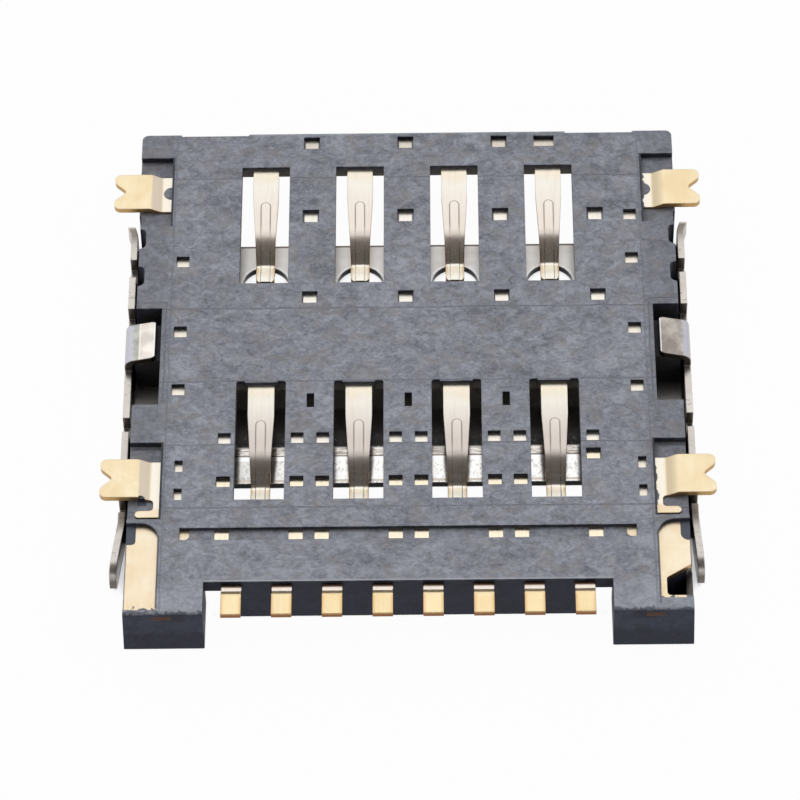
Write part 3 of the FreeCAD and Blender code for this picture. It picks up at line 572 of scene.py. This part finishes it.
def far_panel(g, cloud):
    """Clean panel, dark along its edge at the card mouth, with painted highlights as bright rims round the
    holes.
    """
    panel = g.blend(cloud, "#DEDAD6", "#FCFAF8")
    panel = g.blend(g.near(g.y, PANEL_EDGE_Y, PANEL_EDGE_HALF), panel, "#8A817A")
    from_hole = g.length(g.from_column(CONTACT_PITCH), g.calc("SUBTRACT", g.y, COVER_HOLE_Y))
    # Painted highlight round each hole.
    return g.blend(g.near(from_hole, *HOLE_RIM_HIGHLIGHT), panel, "#FFFFFF")


print("cover panel described")

# %% [markdown]
# The clips reach up beside the base and fold over its edge. The left one is painted bright and the right one
# duller, as painted reflections of the bright and the dark side of the studio. Outside the fold each clip
# turns down and is painted greyer and bluer as a painted reflection, on the left the fold itself is a bright
# line of painted highlight, and the clips' inner tips carry a white painted highlight.

# %% The cover's clips, and the whole material
CLIP_LEVEL = (1.0, 1.1)
CLIP_TIP_HIGHLIGHT_X, CLIP_TURN_X = (6.67, 6.64), (7.18, 7.26)
CLIP_FOLD_X, CLIP_FOLD_HALF = 7.035, 0.022
PANEL_LEVEL = (0.2, 0.19)
NEAR_WINDOWS_END_X = (5.6, 5.5)


def clip_faces(g, cloud, specks):
    """Faces of the two clips, worn in soft clouds, with painted reflections that make the left bright, the
    right dull and the turned-down parts bluer, and painted highlights on the fold and the tip.
    """
    worn = g.spread(cloud, 0.38, 0.62)
    # Painted reflections: the left clip bright, the right one dull.
    face = g.blend(g.on_right, g.blend(worn, "#DED6CE", "#FFF9F0"), g.blend(worn, "#988F88", "#C8C1B9"))
    # Painted reflection: past the fold, and further out where the clip turns down, greyer and bluer.
    past_fold = g.calc("SUBTRACT", g.spread(g.off_middle, 7.03, 7.07), g.on_right)
    face = g.blend(past_fold, face, g.blend(worn, "#ACACA6", "#D3D4CC"))
    mottled_x = g.scaled(specks, 0.24, g.calc("SUBTRACT", g.off_middle, 0.12))
    face = g.blend(g.spread(mottled_x, *CLIP_TURN_X), face, g.blend(g.on_right, "#CDCDD6", "#C2C1C9"))
    # Painted highlight along the fold on the left.
    fold = g.times(g.near(g.off_middle, CLIP_FOLD_X, CLIP_FOLD_HALF), g.calc("SUBTRACT", 0.6, g.on_right))
    face = g.blend(fold, face, "#FFFDF2")
    # Painted highlight at the clips' inner tips.
    return g.blend(g.spread(g.off_middle, *CLIP_TIP_HIGHLIGHT_X), face, "#FFFFFF")


def rolled_stainless():
    """Stainless cover: specked walls, panel, clips, and sheared edges painted darker as painted shade, with
    fine rolling lines.
    """
    g = Finish("rolled_stainless_cover", edge_radius=0.035)
    rolled = g.noise(0.7, 4.0, stretch=(0.6, 9.0, 9.0))
    cloud = g.noise(1.8, 4.0)
    specks = g.noise(9.0, 4.0, 0.3)
    on_panel = g.spread(g.z, *PANEL_LEVEL)
    walls = g.blend(cloud, "#C9C2BB", "#EAE4DE")
    walls = g.blend(g.spread(specks, 0.56, 0.66, 0.0, 0.6), walls, "#A69D97")
    panel = g.blend(g.spread(g.y, *FAR_PANEL_Y), near_panel(g), far_panel(g, cloud))
    colour = g.blend(on_panel, walls, panel)
    colour = g.blend(g.spread(g.z, *CLIP_LEVEL), colour, clip_faces(g, cloud, specks))
    faces_along = g.spread(g.calc("ABSOLUTE", g.facing["Y"]), 0.4, 0.7)
    # Sheared edges painted dark as painted shade: nearly black on the panel's hole walls, darker where they
    # face along the socket.
    sheared = g.blend(on_panel, g.blend(faces_along, "#B4ADA6", "#6F6964"), "#1B1A1A")
    colour = g.blend(g.spread(g.facing["Z"], 0.25, 0.7), sheared, colour)
    near_windows = g.times(on_panel, g.spread(g.y, BAND_END_Y + 0.05, BAND_END_Y - 0.05),
                           g.spread(g.off_middle, *NEAR_WINDOWS_END_X))
    rough = g.times(g.spread(rolled, 0.0, 1.0, 0.24, 0.4), g.spread(near_windows, 0.0, 1.0, 1.0, 0.4))
    g.shader.inputs["Metallic"].default_value = 1
    return g.complete(colour, rough, height=rolled, strength=0.2, depth=0.004)


cover_steel = rolled_stainless()
print("made", cover_steel.name)

# %% [markdown]
# ## Giving each node its finish
# A CAD node whose shape is right keeps its mesh and only takes a material. The first word of a
# node's name tells which piece it is.

# %% Assign the finishes
FINISHES = {"base": (base_plastic, "base_plastic"), "cover": (cover_steel, "cover_steel"),
            "mouth": (contact_plating, "contact_strip"), "inner": (contact_plating, "contact_strip"),
            "left": (rail_gold, "rail_strip"), "right": (rail_gold, "rail_strip")}
for name, node_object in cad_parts.items():
    material, slot = FINISHES[name.split("_")[0]]
    node_object.data.materials.clear()
    node_object.data.materials.append(material)
print("dressed", len(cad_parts), "nodes")

# %% [markdown]
# ## The floor and the dark card
# The pale floor is white to the camera and to mirror-like metal, except close under the socket,
# where little open sky is left: there it keeps its shadow. A dark card above and in front of the
# socket is what the steep parts of the contact beams mirror.

# %% Floor and card
FLOOR_Z = -0.02 * MM
FLOOR_HALF = 0.6
SHADOW_REACH = 0.6 * MM
CARD_PLACE = (0, -0.152, 0.257)
CARD_HALF = (0.26, 0.2)


def flat_square(name, centre, facing_to, half_width, half_height):
    """A rectangle at a place, facing a point. It belongs to the stage, not to the socket."""
    away = (Vector(centre) - Vector(facing_to)).normalized()
    rotation = away.to_track_quat("-Z", "Y").to_matrix().to_4x4()
    signs = ((-1, -1), (1, -1), (1, 1), (-1, 1))
    corners = [Vector((x * half_width, y * half_height, 0)) for x, y in signs]
    mesh = bpy.data.meshes.new(name)
    mesh.from_pydata([Matrix.Translation(centre) @ rotation @ c for c in corners], [], [(0, 1, 2, 3)])
    made = bpy.data.objects.new(name, mesh)
    bpy.context.scene.collection.objects.link(made)
    return made


floor = flat_square("floor", (0, 0, FLOOR_Z), (0, 0, -1), FLOOR_HALF, FLOOR_HALF)
floor_paint = bpy.data.materials.new("pale_floor")
floor_paint.use_nodes = True
g = Graph(floor_paint.node_tree)
matt = g.add("ShaderNodeBsdfDiffuse", {"Color": linear("#E8E8E8")}).outputs[0]
white = g.add("ShaderNodeEmission", {"Color": (1, 1, 1, 1), "Strength": 1.0}).outputs[0]
ray = g.add("ShaderNodeLightPath").outputs
seen = g.most(ray["Is Camera Ray"], ray["Is Glossy Ray"], ray["Is Transmission Ray"])
open_sky = g.add("ShaderNodeAmbientOcclusion", {"Distance": SHADOW_REACH}, samples=8).outputs["AO"]
share = g.times(seen, g.spread(open_sky, 0.2, 0.34, 0.0, 0.97))
mixed = g.add("ShaderNodeMixShader", {0: share, 1: matt, 2: white}).outputs[0]
g.add("ShaderNodeOutputMaterial", {"Surface": mixed})
floor.data.materials.append(floor_paint)

card = flat_square("dark_card", CARD_PLACE, (0, 0, 0), *CARD_HALF)
card_paint = bpy.data.materials.new("dark_card_cloth")
card_paint.use_nodes = True
card_inputs = card_paint.node_tree.nodes["Principled BSDF"].inputs
card_inputs["Base Color"].default_value = linear("#6C6864")
card_inputs["Roughness"].default_value = 0.9
card.data.materials.append(card_paint)
print("made", floor.name, "and", card.name)

# %% [markdown]
# ## The sky and the lamp
# The camera sees a plain white world. Metal mirrors a sky whose brightness changes with its height,
# and that gives each facet of the beams its own tone. One large soft lamp stands behind on the left.
# It lights the plastic but isn't mirrored.

# %% World and lamp
LIGHT_STRENGTH = 0.85
SKY_STOPS = ((0.0, 0.5), (0.32, 1.25), (0.46, 0.78), (0.62, 1.06), (0.84, 1.06), (0.95, 0.92), (1.0, 0.86))
LAMP_PLACE = Vector((-0.16, 0.22, 0.36))
LAMP_SIZE = 0.22
LAMP_WATTS = 0.45

world = bpy.data.worlds.new("soft_white_world")
world.use_nodes = True
g = Graph(world.node_tree)
ray = g.add("ShaderNodeLightPath").outputs
direction = g.add("ShaderNodeTexCoord").outputs["Generated"]
height = g.add("ShaderNodeSeparateXYZ", {0: direction}).outputs["Z"]
sky_ramp = g.add("ShaderNodeValToRGB", {"Fac": height})
stops = sky_ramp.color_ramp.elements
for position, level in SKY_STOPS:
    stop = {0.0: stops[0], 1.0: stops[-1]}.get(position) or stops.new(position)
    stop.color = (level, level, level, 1)
mirrored_sky = g.add("ShaderNodeMix", {"Factor": ray["Is Glossy Ray"], 2: LIGHT_STRENGTH,
                     3: sky_ramp.outputs[0]}).outputs[0]
seen = g.most(ray["Is Camera Ray"], ray["Is Transmission Ray"])
strength = g.spread(seen, 0.0, 1.0, mirrored_sky, 1.0)
sky = g.add("ShaderNodeBackground", {"Color": (1, 1, 1, 1), "Strength": strength}).outputs[0]
g.add("ShaderNodeOutputWorld", {"Surface": sky})
bpy.context.scene.world = world

lamp_data = bpy.data.lights.new("soft_lamp", "AREA")
lamp_data.shape = "SQUARE"
lamp_data.size = LAMP_SIZE
lamp_data.energy = LAMP_WATTS
lamp = bpy.data.objects.new("soft_lamp", lamp_data)
lamp.visible_glossy = False
lamp_turn = LAMP_PLACE.to_track_quat("Z", "Y").to_matrix().to_4x4()
lamp.matrix_world = Matrix.Translation(LAMP_PLACE) @ lamp_turn
bpy.context.scene.collection.objects.link(lamp)
bpy.context.scene.view_settings.view_transform = "Standard"
print("studio ready")
